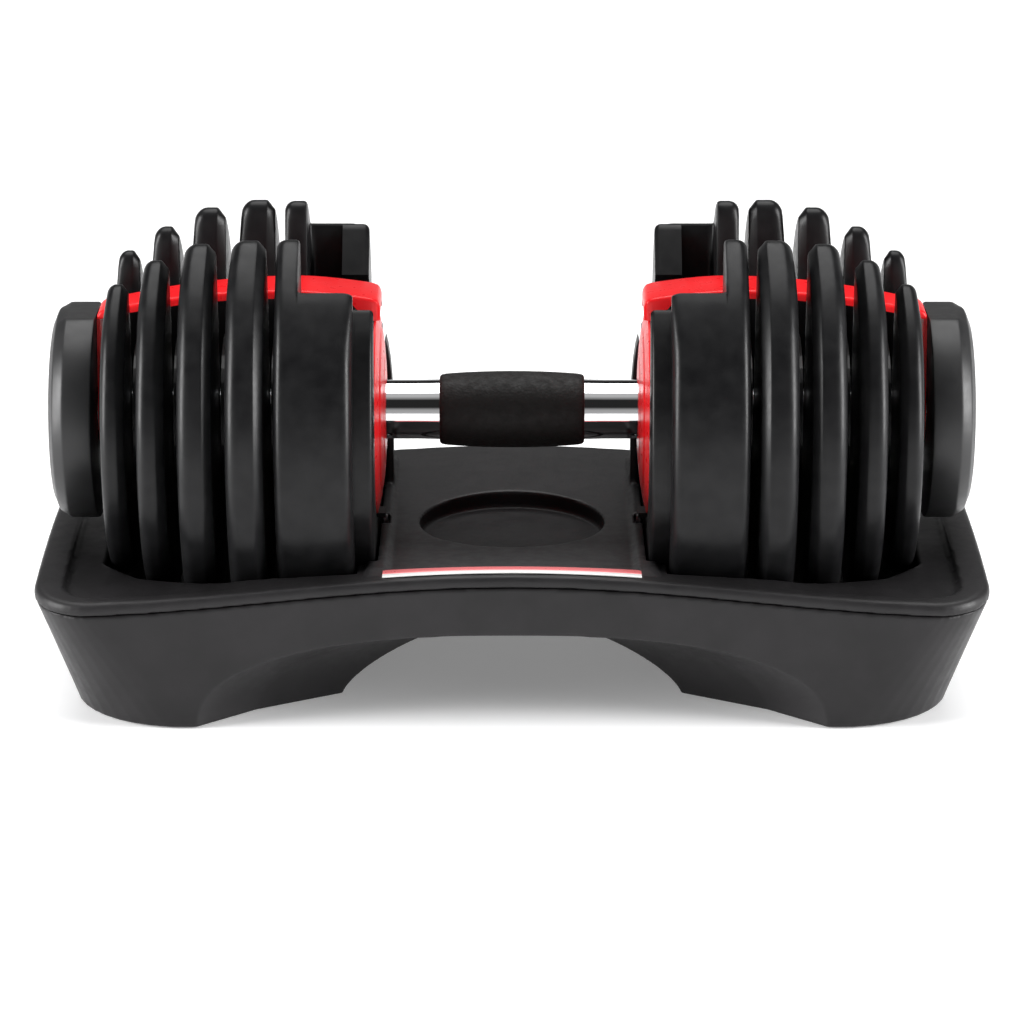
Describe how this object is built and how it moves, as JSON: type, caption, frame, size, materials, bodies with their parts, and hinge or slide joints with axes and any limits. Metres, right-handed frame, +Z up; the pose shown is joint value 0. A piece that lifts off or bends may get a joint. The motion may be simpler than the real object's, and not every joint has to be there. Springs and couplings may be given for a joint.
{
  "type": "adjustable dumbbell",
  "caption": "Adjustable dumbbell with nested U-slotted plates, turning end dials, a barrel grip and an open storage tray.",
  "frame": {"origin": "on the table, under the middle of the tray", "axes": "+X along the handle to the right, +Y away from the front label strip, +Z up"},
  "size_m": [0.409, 0.196, 0.1999],
  "materials": {
    "plate_coating": "satin black moulded coating over an iron plate",
    "tray_plastic": "finely textured black moulding",
    "black_plastic": "satin black moulding",
    "red_plastic": "bright red gloss moulding",
    "chrome": "polished chrome plating",
    "rubber": "matt black rubber, finely stippled",
    "plated_steel": "zinc-plated steel",
    "strip": "plain red strip with a pale edge, no lettering"
  },
  "bodies": {
    "tray": {"tray_top": "tray_plastic", "tray_base": "tray_plastic", "label_strip": "strip", "right_front_foot_pad": "rubber", "right_rear_foot_pad": "rubber", "right_release_pin": "plated_steel", "left_front_foot_pad": "rubber", "left_rear_foot_pad": "rubber", "left_release_pin": "plated_steel"},
    "handle": {"core_rod": "plated_steel", "handle_tube": "chrome", "grip": "rubber", "right_inner_disc": "red_plastic", "right_lock_housing": "black_plastic", "right_bridge": "red_plastic", "right_washer": "plated_steel", "right_nut": "plated_steel", "left_inner_disc": "red_plastic", "left_lock_housing": "black_plastic", "left_bridge": "red_plastic", "left_washer": "plated_steel", "left_nut": "plated_steel"},
    "right_selector": {"right_dial": "black_plastic", "right_selector_sleeve": "plated_steel", "right_index_wheel": "black_plastic", "right_selector_disc_1": "black_plastic", "right_selector_disc_2": "black_plastic", "right_selector_disc_3": "black_plastic", "right_selector_disc_4": "black_plastic", "right_selector_disc_5": "black_plastic"},
    "right_lock": {"right_lock_tab": "plated_steel"},
    "right_weight_1": {"right_plate_1": "plate_coating"},
    "right_weight_2": {"right_plate_2": "plate_coating"},
    "right_weight_3": {"right_plate_3": "plate_coating"},
    "right_weight_4": {"right_plate_4": "plate_coating"},
    "right_weight_5": {"right_plate_5": "plate_coating"},
    "left_selector": {"left_dial": "black_plastic", "left_selector_sleeve": "plated_steel", "left_index_wheel": "black_plastic", "left_selector_disc_1": "black_plastic", "left_selector_disc_2": "black_plastic", "left_selector_disc_3": "black_plastic", "left_selector_disc_4": "black_plastic", "left_selector_disc_5": "black_plastic"},
    "left_lock": {"left_lock_tab": "plated_steel"},
    "left_weight_1": {"left_plate_1": "plate_coating"},
    "left_weight_2": {"left_plate_2": "plate_coating"},
    "left_weight_3": {"left_plate_3": "plate_coating"},
    "left_weight_4": {"left_plate_4": "plate_coating"},
    "left_weight_5": {"left_plate_5": "plate_coating"}
  },
  "joints": [
    {"name": "dumbbell_lift", "type": "slide", "parent": "tray", "child": "handle", "axis": [0, 0, 1], "range_m": [0, 0.15]},
    {"name": "right_dial_turn", "type": "hinge", "parent": "handle", "child": "right_selector", "pos_m": [0.19, 0, 0.114], "axis": [1, 0, 0], "continuous": true},
    {"name": "right_lock_slide", "type": "slide", "parent": "handle", "child": "right_lock", "axis": [0, 0, 1], "range_m": [-0.0025, 0]},
    {"name": "right_plate_1_lift", "type": "slide", "parent": "tray", "child": "right_weight_1", "axis": [0, 0, 1], "range_m": [0, 0.15]},
    {"name": "right_plate_2_lift", "type": "slide", "parent": "tray", "child": "right_weight_2", "axis": [0, 0, 1], "range_m": [0, 0.15]},
    {"name": "right_plate_3_lift", "type": "slide", "parent": "tray", "child": "right_weight_3", "axis": [0, 0, 1], "range_m": [0, 0.15]},
    {"name": "right_plate_4_lift", "type": "slide", "parent": "tray", "child": "right_weight_4", "axis": [0, 0, 1], "range_m": [0, 0.15]},
    {"name": "right_plate_5_lift", "type": "slide", "parent": "tray", "child": "right_weight_5", "axis": [0, 0, 1], "range_m": [0, 0.15]},
    {"name": "left_dial_turn", "type": "hinge", "parent": "handle", "child": "left_selector", "pos_m": [-0.19, 0, 0.114], "axis": [1, 0, 0], "continuous": true},
    {"name": "left_lock_slide", "type": "slide", "parent": "handle", "child": "left_lock", "axis": [0, 0, 1], "range_m": [-0.0025, 0]},
    {"name": "left_plate_1_lift", "type": "slide", "parent": "tray", "child": "left_weight_1", "axis": [0, 0, 1], "range_m": [0, 0.15]},
    {"name": "left_plate_2_lift", "type": "slide", "parent": "tray", "child": "left_weight_2", "axis": [0, 0, 1], "range_m": [0, 0.15]},
    {"name": "left_plate_3_lift", "type": "slide", "parent": "tray", "child": "left_weight_3", "axis": [0, 0, 1], "range_m": [0, 0.15]},
    {"name": "left_plate_4_lift", "type": "slide", "parent": "tray", "child": "left_weight_4", "axis": [0, 0, 1], "range_m": [0, 0.15]},
    {"name": "left_plate_5_lift", "type": "slide", "parent": "tray", "child": "left_weight_5", "axis": [0, 0, 1], "range_m": [0, 0.15]}
  ],
  "couplings": [
    {"joint": "right_lock_slide", "follows": "dumbbell_lift", "ratio": -0.016},
    {"joint": "right_plate_1_lift", "follows": "dumbbell_lift", "ratio": 1},
    {"joint": "right_plate_2_lift", "follows": "dumbbell_lift", "ratio": 1},
    {"joint": "right_plate_3_lift", "follows": "dumbbell_lift", "ratio": 1},
    {"joint": "right_plate_4_lift", "follows": "dumbbell_lift", "ratio": 1},
    {"joint": "right_plate_5_lift", "follows": "dumbbell_lift", "ratio": 1},
    {"joint": "left_lock_slide", "follows": "dumbbell_lift", "ratio": -0.016},
    {"joint": "left_plate_1_lift", "follows": "dumbbell_lift", "ratio": 1},
    {"joint": "left_plate_2_lift", "follows": "dumbbell_lift", "ratio": 1},
    {"joint": "left_plate_3_lift", "follows": "dumbbell_lift", "ratio": 1},
    {"joint": "left_plate_4_lift", "follows": "dumbbell_lift", "ratio": 1},
    {"joint": "left_plate_5_lift", "follows": "dumbbell_lift", "ratio": 1}
  ]
}
